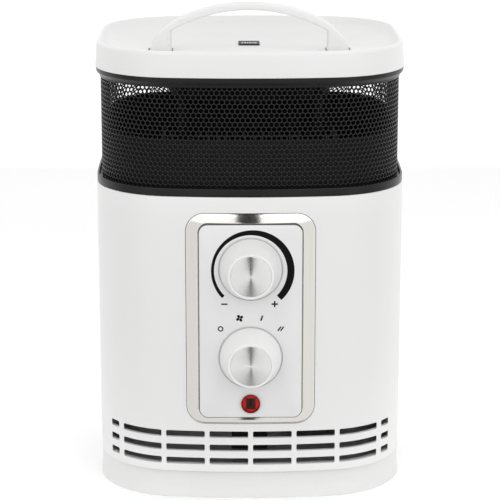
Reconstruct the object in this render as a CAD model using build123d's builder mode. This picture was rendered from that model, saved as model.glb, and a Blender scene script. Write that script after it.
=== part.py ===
from build123d import *
import os
from math import atan2, cos, degrees, hypot, radians, sin, sqrt

os.makedirs("parts", exist_ok=True)

# Frame: +Z up, the floor at Z = 0, the housing's own axis at X = Y = 0, the controls towards -Y.
# "Depth" d on the control side means the plane Y = -d.

# Plan outline: bowed front and rear, nearly straight sides and large round corners
half_width = 105.0
half_depth = 92.4
front_bow = 416.0
side_bow = 1350.0
corner_round = 56.6

# Heights of the outer shapes
plinth_top = 17.9
body_base = 18.7
body_top = 210.5
lower_ring_top = 215.9
skirt_front_top = 247.7
skirt_rear_top = 251.3
upper_ring_base = 282.6
cap_base = 289.3
dish_floor = 294.2
cap_top = 306.4
handle_top = 327.0

# Shell, insets measured inwards from the body's outer face
wall = 2.5
flange_inset = 9.5
ring_inset = 0.2
lip_inset = 1.8
mesh_inset = 3.6
mesh_gauge = 0.8
skirt_inset = 6.2
skirt_gauge = 1.2

# Underside
floor_plate_base = 3.0
floor_plate_top = 5.5
plinth_wall = 3.0
neck_inset = 2.6
neck_inner = 5.1
foot_radius = 8.0
foot_places = [(x, y) for x in (-68, 68) for y in (-56, 56)]
base_screw_places = [(-95, 0), (95, 0), (0, -82.6), (0, 82.6)]

# Intake slots
slot_width = 26.3
slot_height = 4.7
slot_round = 0.9
slot_pitch_x = 29.5
slot_pitch_z = 9.6
slot_first_z = 26.3
end_slot_width = 5.3
end_slot_x = 92.85

# Tip-over switch
plunger_radius = 3.5
plunger_flange = 5.0
plunger_travel = 3.6
moving_gap = 0.3

# Fan and its duct
duct_radius = 56.0
duct_base = 122.0
deck_base = 205.0
deck_top = 207.5
motor_radius = 23.0
motor_base = 104.0
motor_top = 148.0
shaft_radius = 2.5
running_gap = 0.05
hub_radius = 17.0
hub_base = 158.0
hub_top = 178.0
blade_tip = 51.0
blade_count = 7

# Heating element
element_half_x = 62.0
element_half_y = 58.0
element_wall = 3.0
element_top = 231.0
bar_width = 6.0
fin_count = 18

# Cage above the body
post_radius = 3.0
post_places = [(x, y) for x in (-45, 45) for y in (-66, 66)]
shield_base = 286.3
shield_top = 287.8
deflector_radius = 56.0
deflector_base = 262.0
deflector_corner = 5.0
deflector_wall = 1.3

# Handle
handle_half_span = 69.3
handle_rise = 37.0
handle_centre_z = 290.0
handle_half_depth = 8.0
grip_half_width = 53.7
grip_shoulder_z = 308.4
grip_top_z = 322.6
handle_slot_gap = 0.9
handle_leg_x = (handle_half_span + grip_half_width) / 2

# Control panel
bezel_middle_z = 126.5
window_middle_z = 125.7
bezel_width = 86.0
bezel_height = 145.8
bezel_round = 12.6
window_width = 69.5
window_height = 134.3
window_round = 6.2
window_lip = 2.25
opening_width = 62.0
opening_height = 128.6
bezel_lift = 1.2
bezel_crest = 96.7
panel_back = 93.0
panel_face = 95.2
panel_gap = 0.3
recess_radius = 21.5
recess_floor = 94.0
bracket_back = 76.0
bracket_front = 77.2
bracket_post_places = [(x, z) for x in (-26, 26) for z in (-58, 58)]
thermostat_z = 162.3
mode_z = 101.2
lamp_z = 68.8

# Knobs, switches and lamp
knob_radius = 20.6
knob_front_radius = 15.05
knob_back = 94.4
knob_shoulder = 96.6
knob_face = 115.2
disc_radius = 13.5
disc_gauge = 0.8
spindle_radius = 3.0
spindle_back = 64.0
spindle_front = 110.0
bush_radius = 4.5
bush_front = 84.0
nut_front = 80.0
lamp_radius = 6.45


def bow_corner():
    """Centre of the right rear corner arc, tangent inside the rear bow and the side bow."""
    bow_y = half_depth - front_bow
    side_x = half_width - side_bow
    to_bow = front_bow - corner_round
    to_side = side_bow - corner_round
    gap = hypot(side_x, bow_y)
    along = (to_bow**2 - to_side**2 + gap**2) / (2 * gap)
    across = sqrt(to_bow**2 - along**2)
    unit_x = side_x / gap
    unit_y = -bow_y / gap
    return unit_x * along + unit_y * across, bow_y + unit_y * along - unit_x * across


corner_x, corner_y = bow_corner()
bow_end = atan2(corner_y - half_depth + front_bow, corner_x)
side_end = atan2(corner_y, corner_x - half_width + side_bow)


def corner_point(angle, inset):
    """A point on the right rear corner arc."""
    reach = corner_round - inset
    return corner_x + reach * cos(angle), corner_y + reach * sin(angle)


def housing_outline(inset, mode=Mode.ADD):
    """The plan outline moved inwards, as a face in the open sketch. Eight tangent arcs."""
    rear = corner_point(bow_end, inset)
    middle = corner_point((bow_end + side_end) / 2, inset)
    side = corner_point(side_end, inset)
    with BuildLine() as outline:
        for flip in (1, -1):
            bow_y = flip * rear[1]
            side_x = flip * side[0]
            ThreePointArc((-rear[0], bow_y), (0, flip * (half_depth - inset)), (rear[0], bow_y))
            ThreePointArc((side_x, -side[1]), (flip * (half_width - inset), 0), (side_x, side[1]))
            for turn in (1, -1):
                ends = [(flip * x, turn * y) for x, y in (rear, middle, side)]
                ThreePointArc(*ends)
    make_face(outline.edges(), mode=mode)


def wall_band(outer, inner, low, high, mode=Mode.ADD):
    """A wall between two insets of the plan outline and two heights."""
    with BuildSketch(Plane.XY.offset(low)) as profile:
        housing_outline(outer)
        housing_outline(inner, Mode.SUBTRACT)
    extrude(profile.sketch, amount=high - low, mode=mode)


def outline_plate(inset, low, high, mode=Mode.ADD):
    """A plate that fills one inset of the plan outline between two heights."""
    with BuildSketch(Plane.XY.offset(low)) as profile:
        housing_outline(inset)
    extrude(profile.sketch, amount=high - low, mode=mode)


def outline_stack(sections, mode=Mode.ADD):
    """A solid through plan outlines given as (height, inset)."""
    profiles = []
    for height, inset in sections:
        with BuildSketch(Plane.XY.offset(height)) as profile:
            housing_outline(inset)
        profiles.append(profile.sketch)
    loft(profiles, ruled=True, mode=mode)


def rods(places, radius, low, high, mode=Mode.ADD):
    """Upright round rods or holes at the given (x, y) places."""
    with BuildSketch(Plane.XY.offset(low)) as profile:
        with Locations(*places):
            Circle(radius)
    extrude(profile.sketch, amount=high - low, mode=mode)


def front_rods(places, radius, back, front, mode=Mode.ADD):
    """Round rods or holes along Y at the given (x, z) places, between two depths."""
    with BuildSketch(Plane.XZ.offset(back)) as profile:
        with Locations(*places):
            Circle(radius)
    extrude(profile.sketch, amount=front - back, mode=mode)


def front_block(width, height, z, rounding, back, front, mode=Mode.ADD):
    """A rounded rectangular block centred at height z, between two depths."""
    with BuildSketch(Plane.XZ.offset(back)) as profile:
        with Locations((0, z)):
            RectangleRounded(width, height, rounding)
    extrude(profile.sketch, amount=front - back, mode=mode)


# ---------------------------------------------------------------- underside

with BuildPart() as base_plinth:
    outline_stack([(0, -0.3), (9, 0.1), (plinth_top, 0.3)])
    outline_plate(neck_inset, plinth_top, plinth_top + 5)
    outline_plate(plinth_wall, 0, plinth_top - wall, Mode.SUBTRACT)
    outline_plate(neck_inner, 0, plinth_top + 5, Mode.SUBTRACT)
    rods(base_screw_places, 5.5, floor_plate_top, plinth_top)
    rods(base_screw_places, 1.6, floor_plate_top, 15, Mode.SUBTRACT)
base_plinth.part.label = "base_plinth"
export_step(base_plinth.part, "parts/base_plinth.step")

with BuildPart() as base_plate:
    outline_plate(plinth_wall, floor_plate_base, floor_plate_top)
    rods(base_screw_places, 1.6, floor_plate_base, floor_plate_top, Mode.SUBTRACT)
    rods([(0, 0)], plunger_radius + moving_gap, floor_plate_base, floor_plate_top, Mode.SUBTRACT)
base_plate.part.label = "base_plate"
export_step(base_plate.part, "parts/base_plate.step")

with BuildPart() as rubber_feet:
    rods(foot_places, foot_radius, 0, floor_plate_base)
rubber_feet.part.label = "rubber_feet"
export_step(rubber_feet.part, "parts/rubber_feet.step")

with BuildPart() as base_screws:
    rods(base_screw_places, 3.6, floor_plate_base - 1.6, floor_plate_base)
    rods(base_screw_places, 1.6, floor_plate_base, 14)
base_screws.part.label = "base_screws"
export_step(base_screws.part, "parts/base_screws.step")

# The floor holds the plunger in. It drops by its travel when the heater is lifted or falls over.
flange_base = 11.0
shelf_top = flange_base - plunger_travel - 0.2
with BuildPart() as tip_switch_plunger:
    rods([(0, 0)], plunger_radius, 0, flange_base)
    rods([(0, 0)], plunger_flange, flange_base, flange_base + 1.5)
    rods([(0, 0)], plunger_radius - 1, flange_base + 1.5, flange_base + 5)
tip_switch_plunger.part.label = "tip_switch_plunger"
export_step(tip_switch_plunger.part, "parts/tip_switch_plunger.step")

with BuildPart() as tip_switch_body:
    with BuildSketch(Plane.XY.offset(floor_plate_top)):
        RectangleRounded(26, 18, 2)
    extrude(amount=16.5)
    rods([(0, 0)], plunger_radius + moving_gap, floor_plate_top, shelf_top, Mode.SUBTRACT)
    rods([(0, 0)], plunger_flange + moving_gap, shelf_top, flange_base + 8, Mode.SUBTRACT)
tip_switch_body.part.label = "tip_switch_body"
export_step(tip_switch_body.part, "parts/tip_switch_body.step")

terminal_place = (48, 48)
terminal_height = 13.0
with BuildPart() as terminal_block:
    with BuildSketch(Plane.XY.offset(floor_plate_top)):
        with Locations(terminal_place):
            RectangleRounded(44, 20, 1.5)
    extrude(amount=terminal_height)
    terminal_top = floor_plate_top + terminal_height
    wire_places = [(terminal_place[0] + 15 * i, terminal_place[1]) for i in (-1, 0, 1)]
    rods(wire_places, 3.0, terminal_top - 5, terminal_top, Mode.SUBTRACT)
terminal_block.part.label = "terminal_block"
export_step(terminal_block.part, "parts/terminal_block.step")

# ---------------------------------------------------------------- body shells

seam_boss_places = [(x, z) for x in (-80, 80) for z in (70, 190)]
seam_screw_head_y = 14.0
gland_place = (62, 66)
column_x = [slot_pitch_x * (i - 2.5) for i in range(6)]
row_z = [slot_first_z + slot_pitch_z * i for i in range(3)]


def intake_slots(back, front):
    """Three rows of intake slots cut straight along Y between two depths."""
    with BuildSketch(Plane.XZ.offset(back)) as profile:
        with Locations(*[(x, z) for x in column_x for z in row_z]):
            RectangleRounded(slot_width, slot_height, slot_round)
        with Locations(*[(x, z) for x in (-end_slot_x, end_slot_x) for z in row_z]):
            RectangleRounded(end_slot_width, slot_height, slot_round)
    extrude(profile.sketch, amount=front - back, mode=Mode.SUBTRACT)


def keep_half(side):
    """Keep what lies in front of the seam at Y = 0 (side -1), or behind it (side 1)."""
    with Locations((0, side * half_depth, body_top / 2)):
        Box(3 * half_width, 2 * half_depth, body_top, mode=Mode.INTERSECT)


with BuildPart() as front_housing:
    wall_band(0, wall, body_base, body_top)
    front_rods(seam_boss_places, 4.5, 0, half_depth)
    outline_plate(0, body_base, body_top, Mode.INTERSECT)
    keep_half(-1)
    intake_slots(20, 120)
    front_rods(seam_boss_places, 1.5, 0, 16, Mode.SUBTRACT)
    front_block(opening_width, opening_height, window_middle_z, 5, 40, 120, Mode.SUBTRACT)
front_housing.part.label = "front_housing"
export_step(front_housing.part, "parts/front_housing.step")

with BuildPart() as rear_housing:
    wall_band(0, wall, body_base, body_top)
    front_rods(seam_boss_places, 4.5, -half_depth, 0)
    outline_plate(0, body_base, body_top, Mode.INTERSECT)
    keep_half(1)
    intake_slots(-120, -20)
    front_rods(seam_boss_places, 3.0, -half_depth, -seam_screw_head_y, Mode.SUBTRACT)
    front_rods(seam_boss_places, 1.5, -seam_screw_head_y, 0, Mode.SUBTRACT)
    front_rods([gland_place], 6.0, -120, -40, Mode.SUBTRACT)
rear_housing.part.label = "rear_housing"
export_step(rear_housing.part, "parts/rear_housing.step")

with BuildPart() as housing_screws:
    front_rods(seam_boss_places, 2.9, -seam_screw_head_y - 2.4, -seam_screw_head_y)
    front_rods(seam_boss_places, 1.5, -seam_screw_head_y, 15)
housing_screws.part.label = "housing_screws"
export_step(housing_screws.part, "parts/housing_screws.step")

# The cord's inlet: a bush through the rear wall with a flange outside.
gland_back = -half_depth - 2
with BuildPart() as cord_gland:
    front_rods([gland_place], 8.5, gland_back, gland_back + 10)
    outline_plate(0, body_base, body_top, Mode.SUBTRACT)
    front_rods([gland_place], 6.0, gland_back, gland_back + 16)
    front_rods([gland_place], 3.6, gland_back, gland_back + 16, Mode.SUBTRACT)
cord_gland.part.label = "cord_gland"
export_step(cord_gland.part, "parts/cord_gland.step")

# ---------------------------------------------------------------- fan

with BuildPart() as fan_deck:
    outline_plate(wall, deck_base, deck_top)
    rods([(0, 0)], duct_radius - 1.5, deck_base, deck_top, Mode.SUBTRACT)
fan_deck.part.label = "fan_deck"
export_step(fan_deck.part, "parts/fan_deck.step")

with BuildPart() as fan_duct:
    rods([(0, 0)], duct_radius, duct_base, deck_base)
    rods([(0, 0)], duct_radius - 2, duct_base, deck_base, Mode.SUBTRACT)
    rods([(0, 0)], duct_radius + 4, deck_base - 2, deck_base)
    rods([(0, 0)], duct_radius - 2, deck_base - 2, deck_base, Mode.SUBTRACT)
fan_duct.part.label = "fan_duct"
export_step(fan_duct.part, "parts/fan_duct.step")

with BuildPart() as fan_motor:
    rods([(0, 0)], motor_radius, motor_base, motor_top)
    rods([(0, 0)], 7.0, motor_top, motor_top + 4)
    fillet(fan_motor.edges().group_by(Axis.Z)[0], 3)
    rods([(0, 0)], shaft_radius + running_gap, motor_base + 6, motor_top + 4, Mode.SUBTRACT)
fan_motor.part.label = "fan_motor"
export_step(fan_motor.part, "parts/fan_motor.step")

# Three arms carry the motor inside the duct's mouth.
arm_reach = duct_radius - 2 - motor_radius
with BuildPart() as motor_bracket:
    rods([(0, 0)], motor_radius + 3, duct_base + 2, duct_base + 14)
    with Locations((0, 0, duct_base + 8)):
        with PolarLocations(motor_radius + 1 + arm_reach / 2, 3, start_angle=90):
            Box(arm_reach, 5, 8)
    rods([(0, 0)], duct_radius - 2, duct_base, duct_base + 16, Mode.INTERSECT)
    rods([(0, 0)], motor_radius, duct_base, duct_base + 16, Mode.SUBTRACT)
motor_bracket.part.label = "motor_bracket"
export_step(motor_bracket.part, "parts/motor_bracket.step")

with BuildPart() as motor_shaft:
    rods([(0, 0)], shaft_radius, motor_base + 7, hub_top)
motor_shaft.part.label = "motor_shaft"
export_step(motor_shaft.part, "parts/motor_shaft.step")

blade_root = hub_radius - 1
with BuildPart() as fan_impeller:
    rods([(0, 0)], hub_radius, hub_base, hub_top)
    with Locations((0, 0, (hub_base + hub_top) / 2)):
        with PolarLocations((blade_root + blade_tip) / 2, blade_count):
            Box(blade_tip - blade_root, 24, 1.8, rotation=(34, 0, 0))
    rods([(0, 0)], blade_tip, hub_base, hub_top, Mode.INTERSECT)
    rods([(0, 0)], shaft_radius, hub_base, hub_top, Mode.SUBTRACT)
fan_impeller.part.label = "fan_impeller"
export_step(fan_impeller.part, "parts/fan_impeller.step")

# ---------------------------------------------------------------- heating element

inner_x = element_half_x - element_wall
inner_y = element_half_y - element_wall
bank_width = (2 * inner_y - 3 * bar_width) / 4
bar_pitch = bank_width + bar_width
bar_base = deck_top + 3
bar_top = element_top - 3
safety_z = (deck_top + element_top) / 2


def element_boxes(places, size_x, size_y, low, high, mode=Mode.ADD):
    """Upright boxes of one size at the given (x, y) places."""
    with BuildSketch(Plane.XY.offset(low)) as profile:
        with Locations(*places):
            Rectangle(size_x, size_y)
    extrude(profile.sketch, amount=high - low, mode=mode)


with BuildPart() as ptc_frame:
    element_boxes([(0, 0)], 2 * element_half_x, 2 * element_half_y, deck_top, element_top)
    element_boxes([(0, 0)], 2 * inner_x, 2 * inner_y, deck_top, element_top, Mode.SUBTRACT)
ptc_frame.part.label = "ptc_frame"
export_step(ptc_frame.part, "parts/ptc_frame.step")

bar_places = [(0, bar_pitch * i) for i in (-1, 0, 1)]
with BuildPart() as ptc_ceramic_bars:
    element_boxes(bar_places, 2 * inner_x, bar_width, bar_base, bar_top)
ptc_ceramic_bars.part.label = "ptc_ceramic_bars"
export_step(ptc_ceramic_bars.part, "parts/ptc_ceramic_bars.step")

# Four banks of fins: two rails along each bank with upright fins between them.
bank_y = [bar_pitch * (i - 1.5) for i in range(4)]
fin_pitch = (2 * inner_x - 8) / (fin_count - 1)
fin_x = [fin_pitch * (i - (fin_count - 1) / 2) for i in range(fin_count)]
rail = 1.0
with BuildPart() as ptc_fins:
    for y in bank_y:
        for side in (-1, 1):
            rail_place = (0, y + side * (bank_width - rail) / 2)
            element_boxes([rail_place], 2 * inner_x - 2, rail, bar_base, bar_top)
        element_boxes([(x, y) for x in fin_x], 1.0, bank_width - rail, bar_base, bar_top)
ptc_fins.part.label = "ptc_fins"
export_step(ptc_fins.part, "parts/ptc_fins.step")

with BuildPart() as thermal_cutout:
    with BuildSketch(Plane.YZ.offset(element_half_x)):
        with Locations((0, safety_z)):
            Circle(7.5)
    extrude(amount=4)
    with BuildSketch(Plane.YZ.offset(element_half_x + 4)):
        with Locations((0, safety_z)):
            Circle(5.5)
    extrude(amount=3)
thermal_cutout.part.label = "thermal_cutout"
export_step(thermal_cutout.part, "parts/thermal_cutout.step")

with BuildPart() as thermal_fuse:
    with BuildSketch(Plane.YZ.offset(-element_half_x)):
        with Locations((0, safety_z)):
            RectangleRounded(24, 6, 2.5)
    extrude(amount=-5)
thermal_fuse.part.label = "thermal_fuse"
export_step(thermal_fuse.part, "parts/thermal_fuse.step")

# ---------------------------------------------------------------- cage and grille

ring_floor = lower_ring_top - 3
with BuildPart() as lower_trim_ring:
    wall_band(ring_inset, flange_inset, body_top, ring_floor)
    wall_band(ring_inset, lip_inset, ring_floor, lower_ring_top)
lower_trim_ring.part.label = "lower_trim_ring"
export_step(lower_trim_ring.part, "parts/lower_trim_ring.step")

mesh_top = upper_ring_base + 2.8
with BuildPart() as grille_mesh:
    wall_band(mesh_inset, mesh_inset + mesh_gauge, ring_floor, mesh_top)
grille_mesh.part.label = "grille_mesh"
export_step(grille_mesh.part, "parts/grille_mesh.step")

# The skirt's top edge slopes down towards the front.
with BuildPart() as heat_skirt:
    wall_band(skirt_inset, skirt_inset + skirt_gauge, ring_floor, skirt_rear_top)
    with BuildSketch(Plane.YZ.offset(-half_width)):
        with BuildLine():
            low_end = (-half_depth, skirt_front_top)
            high_end = (half_depth, skirt_rear_top)
            Polyline(low_end, high_end, (half_depth, 2 * cap_top), (-half_depth, 2 * cap_top), close=True)
        make_face()
    extrude(amount=2 * half_width, mode=Mode.SUBTRACT)
heat_skirt.part.label = "heat_skirt"
export_step(heat_skirt.part, "parts/heat_skirt.step")

with BuildPart() as cage_posts:
    rods(post_places, post_radius, deck_top, shield_base)
cage_posts.part.label = "cage_posts"
export_step(cage_posts.part, "parts/cage_posts.step")

# The upper ring narrows downwards to the grille.
ring_sections = [(upper_ring_base, 3.2), (284.0, 2.9), (286.4, 0.7), (cap_base, 0.4)]
with BuildPart() as upper_trim_ring:
    outline_stack(ring_sections)
    outline_plate(flange_inset, upper_ring_base, cap_base, Mode.SUBTRACT)
    wall_band(mesh_inset, mesh_inset + mesh_gauge, upper_ring_base, mesh_top, Mode.SUBTRACT)
upper_trim_ring.part.label = "upper_trim_ring"
export_step(upper_trim_ring.part, "parts/upper_trim_ring.step")

leg_places = [(-handle_leg_x, 0), (handle_leg_x, 0)]
with BuildPart() as cap_heat_shield:
    outline_plate(flange_inset, shield_base, shield_top)
    rods(leg_places, 2.0, shield_base, shield_top, Mode.SUBTRACT)
cap_heat_shield.part.label = "cap_heat_shield"
export_step(cap_heat_shield.part, "parts/cap_heat_shield.step")

# A shallow bowl under the shield turns the rising air outwards.
with BuildPart() as air_deflector:
    with Locations((0, 0, deflector_base)):
        Cylinder(deflector_radius, shield_base - deflector_base, align=(Align.CENTER, Align.CENTER, Align.MIN))
    chamfer(air_deflector.edges().group_by(Axis.Z)[0], deflector_corner)
    bowl_top = air_deflector.faces().sort_by(Axis.Z)[-1]
    offset(amount=-deflector_wall, openings=bowl_top)
air_deflector.part.label = "air_deflector"
export_step(air_deflector.part, "parts/air_deflector.step")

# ---------------------------------------------------------------- cap and handle

cap_floor = dish_floor - 2.5
rim_sections = [(cap_base, 0.1), (304.2, 1.1), (305.7, 1.8), (cap_top, 3.0)]
dish_slope = [(294.6, 32), (295.8, 22), (298.0, 13.5), (301.5, 7.5)]
dish_sections = [(dish_floor, 42)] + dish_slope + [(cap_top, 4.2)]
handle_slot_width = handle_half_span - grip_half_width + 2 * handle_slot_gap
handle_slot_depth = 2 * (handle_half_depth + handle_slot_gap)
with BuildPart() as top_cap:
    outline_stack(rim_sections)
    outline_stack(dish_sections, Mode.SUBTRACT)
    outline_plate(4.5, cap_base, cap_floor, Mode.SUBTRACT)
    element_boxes(leg_places, handle_slot_width, handle_slot_depth, cap_base, dish_floor + 4, Mode.SUBTRACT)
top_cap.part.label = "top_cap"
export_step(top_cap.part, "parts/top_cap.step")

# The legs pass through the cap's slots and stand on the shield.
with BuildPart() as carry_handle:
    with BuildSketch(Plane.XZ.offset(-handle_half_depth)):
        with Locations((0, handle_centre_z)):
            Ellipse(handle_half_span, handle_rise)
        with BuildLine():
            shoulder = (grip_half_width, grip_shoulder_z)
            ThreePointArc((-shoulder[0], shoulder[1]), (0, grip_top_z), shoulder)
            Polyline(shoulder, (grip_half_width, 240), (-grip_half_width, 240), (-shoulder[0], shoulder[1]))
        make_face(mode=Mode.SUBTRACT)
        with Locations((0, shield_top)):
            Rectangle(3 * handle_half_span, 100, align=(Align.CENTER, Align.MAX), mode=Mode.SUBTRACT)
    extrude(amount=2 * handle_half_depth)
    long_edges = edges().filter_by(lambda e: abs(e.center().Y) > handle_half_depth - 0.1)
    fillet(long_edges.filter_by(lambda e: e.center().Z > shield_top + 1), 1.8)
    rods(leg_places, 2.0, shield_top, shield_top + 12, Mode.SUBTRACT)
carry_handle.part.label = "carry_handle"
export_step(carry_handle.part, "parts/carry_handle.step")

with BuildPart() as handle_screws:
    rods(leg_places, 4.0, shield_base - 2, shield_base)
    rods(leg_places, 2.0, shield_base, shield_top + 11)
handle_screws.part.label = "handle_screws"
export_step(handle_screws.part, "parts/handle_screws.step")

with BuildPart() as name_tag:
    with BuildSketch(Plane.XY.offset(dish_floor)):
        with Locations((0, 30)):
            RectangleRounded(15, 17, 1.6)
    extrude(amount=0.8)
name_tag.part.label = "name_tag"
export_step(name_tag.part, "parts/name_tag.step")

# ---------------------------------------------------------------- control panel

with BuildPart() as panel_bezel:
    front_block(bezel_width, bezel_height, bezel_middle_z, bezel_round, 80, 110)
    outline_plate(-bezel_lift, 40, body_top, Mode.INTERSECT)
    with BuildSketch(Plane.XZ.offset(half_depth - 1.4)):
        with Locations((0, bezel_middle_z)):
            RectangleRounded(bezel_width - 1, bezel_height - 1, bezel_round - 0.5)
    with BuildSketch(Plane.XZ.offset(bezel_crest)):
        with Locations((0, window_middle_z)):
            RectangleRounded(window_width + 1.6, window_height + 1.6, window_round + 0.8)
    loft(ruled=True)
    outline_plate(0, 30, body_top, Mode.SUBTRACT)
    front_block(window_width, window_height, window_middle_z, window_round, panel_back, 110, Mode.SUBTRACT)
    lip_width = window_width - 2 * window_lip
    lip_height = window_height - 2 * window_lip
    front_block(lip_width, lip_height, window_middle_z, window_round - 2, 60, 110, Mode.SUBTRACT)
panel_bezel.part.label = "panel_bezel"
export_step(panel_bezel.part, "parts/panel_bezel.step")

knob_places = [(0, thermostat_z), (0, mode_z)]
post_ends = [(x, window_middle_z + z) for x, z in bracket_post_places]
panel_width = window_width - 2 * panel_gap
panel_height = window_height - 2 * panel_gap
with BuildPart() as control_panel:
    front_block(panel_width, panel_height, window_middle_z, window_round - panel_gap, panel_back, panel_face)
    front_rods(knob_places, recess_radius, recess_floor, panel_face, Mode.SUBTRACT)
    front_rods(knob_places, spindle_radius + 1.5, panel_back, recess_floor, Mode.SUBTRACT)
    front_rods([(0, lamp_z)], lamp_radius, panel_back, panel_face, Mode.SUBTRACT)
    front_rods(post_ends, 3.5, bracket_front, panel_back)
    front_rods(post_ends, 1.3, bracket_front, bracket_front + 10, Mode.SUBTRACT)
control_panel.part.label = "control_panel"
export_step(control_panel.part, "parts/control_panel.step")

with BuildPart() as switch_bracket:
    front_block(60, 124, window_middle_z, 3, bracket_back, bracket_front)
    front_rods(knob_places, bush_radius, bracket_back, bracket_front, Mode.SUBTRACT)
    front_rods(post_ends, 1.3, bracket_back, bracket_front, Mode.SUBTRACT)
    front_rods([(0, lamp_z)], 5.0, bracket_back, bracket_front, Mode.SUBTRACT)
switch_bracket.part.label = "switch_bracket"
export_step(switch_bracket.part, "parts/switch_bracket.step")

with BuildPart() as bracket_screws:
    front_rods(post_ends, 2.6, bracket_back - 1.6, bracket_back)
    front_rods(post_ends, 1.3, bracket_back, bracket_front + 9)
bracket_screws.part.label = "bracket_screws"
export_step(bracket_screws.part, "parts/bracket_screws.step")

with BuildPart() as spindle_nuts:
    with BuildSketch(Plane.XZ.offset(bracket_front)):
        with Locations(*knob_places):
            RegularPolygon(7.0, 6)
            Circle(bush_radius, mode=Mode.SUBTRACT)
    extrude(amount=nut_front - bracket_front)
spindle_nuts.part.label = "spindle_nuts"
export_step(spindle_nuts.part, "parts/spindle_nuts.step")


def add_bush(z):
    """The threaded bush of a switch, bored for its spindle with a running fit."""
    front_rods([(0, z)], bush_radius, bracket_back, bush_front)
    front_rods([(0, z)], spindle_radius + running_gap, spindle_back - 1, bush_front, Mode.SUBTRACT)


with BuildPart() as thermostat_body:
    front_rods([(0, thermostat_z)], 15, 61, bracket_back)
    front_block(34, 12, thermostat_z, 2, 62, 68)
    add_bush(thermostat_z)
thermostat_body.part.label = "thermostat_body"
export_step(thermostat_body.part, "parts/thermostat_body.step")

with BuildPart() as mode_switch_body:
    front_block(30, 30, mode_z, 3, 61, bracket_back)
    add_bush(mode_z)
mode_switch_body.part.label = "mode_switch_body"
export_step(mode_switch_body.part, "parts/mode_switch_body.step")


def knob_shape(z):
    """A tapered knob on a short skirt, hollow behind, with a hub and a seat for its disc."""
    taper = degrees(atan2(knob_radius - knob_front_radius, knob_face - knob_shoulder))
    front_rods([(0, z)], knob_radius, knob_back, knob_shoulder)
    with BuildSketch(Plane.XZ.offset(knob_shoulder)) as skirt:
        with Locations((0, z)):
            Circle(knob_radius)
    extrude(skirt.sketch, amount=knob_face - knob_shoulder, taper=taper)
    fillet(edges().group_by(Axis.Y)[0], 0.9)
    front_rods([(0, z)], 13.0, knob_back, knob_face - 4, Mode.SUBTRACT)
    front_rods([(0, z)], 6.0, knob_back + 1, knob_face - 4)
    front_rods([(0, z)], spindle_radius, knob_back, spindle_front, Mode.SUBTRACT)
    front_rods([(0, z)], disc_radius, knob_face - disc_gauge, knob_face, Mode.SUBTRACT)


with BuildPart() as thermostat_knob:
    knob_shape(thermostat_z)
thermostat_knob.part.label = "thermostat_knob"
export_step(thermostat_knob.part, "parts/thermostat_knob.step")

with BuildPart() as mode_knob:
    knob_shape(mode_z)
mode_knob.part.label = "mode_knob"
export_step(mode_knob.part, "parts/mode_knob.step")

with BuildPart() as thermostat_knob_disc:
    front_rods([(0, thermostat_z)], disc_radius, knob_face - disc_gauge, knob_face - 0.1)
thermostat_knob_disc.part.label = "thermostat_knob_disc"
export_step(thermostat_knob_disc.part, "parts/thermostat_knob_disc.step")

with BuildPart() as mode_knob_disc:
    front_rods([(0, mode_z)], disc_radius, knob_face - disc_gauge, knob_face - 0.1)
mode_knob_disc.part.label = "mode_knob_disc"
export_step(mode_knob_disc.part, "parts/mode_knob_disc.step")

with BuildPart() as thermostat_spindle:
    front_rods([(0, thermostat_z)], spindle_radius, spindle_back, spindle_front)
thermostat_spindle.part.label = "thermostat_spindle"
export_step(thermostat_spindle.part, "parts/thermostat_spindle.step")

with BuildPart() as mode_spindle:
    front_rods([(0, mode_z)], spindle_radius, spindle_back, spindle_front)
mode_spindle.part.label = "mode_spindle"
export_step(mode_spindle.part, "parts/mode_spindle.step")

# ---------------------------------------------------------------- indicator lamp

lamp_front = 97.0
with BuildPart() as lamp_lens:
    front_rods([(0, lamp_z)], 7.2, panel_back - 1.5, panel_back)
    front_rods([(0, lamp_z)], lamp_radius, panel_back, lamp_front)
    fillet(lamp_lens.edges().group_by(Axis.Y)[0], 1.6)
    front_block(6.2, 6.9, lamp_z, 0.4, panel_back - 1.5, lamp_front - 1, Mode.SUBTRACT)
lamp_lens.part.label = "lamp_lens"
export_step(lamp_lens.part, "parts/lamp_lens.step")

with BuildPart() as lamp_bulb:
    front_rods([(0, lamp_z)], 5.0, bracket_back - 6, panel_back - 3)
    front_block(5.6, 6.3, lamp_z, 0.3, panel_back - 3, lamp_front - 1.2)
lamp_bulb.part.label = "lamp_bulb"
export_step(lamp_bulb.part, "parts/lamp_bulb.step")
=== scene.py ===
import bisect
import math

import bmesh
import bpy
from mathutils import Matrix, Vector


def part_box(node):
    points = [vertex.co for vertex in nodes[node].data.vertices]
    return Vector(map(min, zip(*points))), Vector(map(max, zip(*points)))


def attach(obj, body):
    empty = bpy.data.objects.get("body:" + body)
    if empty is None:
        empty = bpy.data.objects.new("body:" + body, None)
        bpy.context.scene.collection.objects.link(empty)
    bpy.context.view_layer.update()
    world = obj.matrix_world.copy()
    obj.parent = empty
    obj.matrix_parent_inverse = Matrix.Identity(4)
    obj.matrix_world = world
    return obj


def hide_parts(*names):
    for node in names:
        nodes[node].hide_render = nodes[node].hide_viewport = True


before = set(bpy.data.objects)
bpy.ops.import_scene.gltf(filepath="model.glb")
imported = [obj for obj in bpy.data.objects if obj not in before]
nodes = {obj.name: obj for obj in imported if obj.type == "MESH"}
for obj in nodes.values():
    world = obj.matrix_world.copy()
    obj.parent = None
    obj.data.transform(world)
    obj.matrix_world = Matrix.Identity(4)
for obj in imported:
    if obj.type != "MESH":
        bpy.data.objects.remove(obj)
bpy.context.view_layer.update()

# Lengths below are in millimetres, as in the CAD model, and MM turns them into metres.
# An "inset" is measured inwards from the body's outer face in plan. A "depth" d is the plane Y = -d.
MM = 0.001


def low_mm(node):
    """A CAD node's lowest corner in millimetres."""
    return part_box(node)[0] / MM


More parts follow.
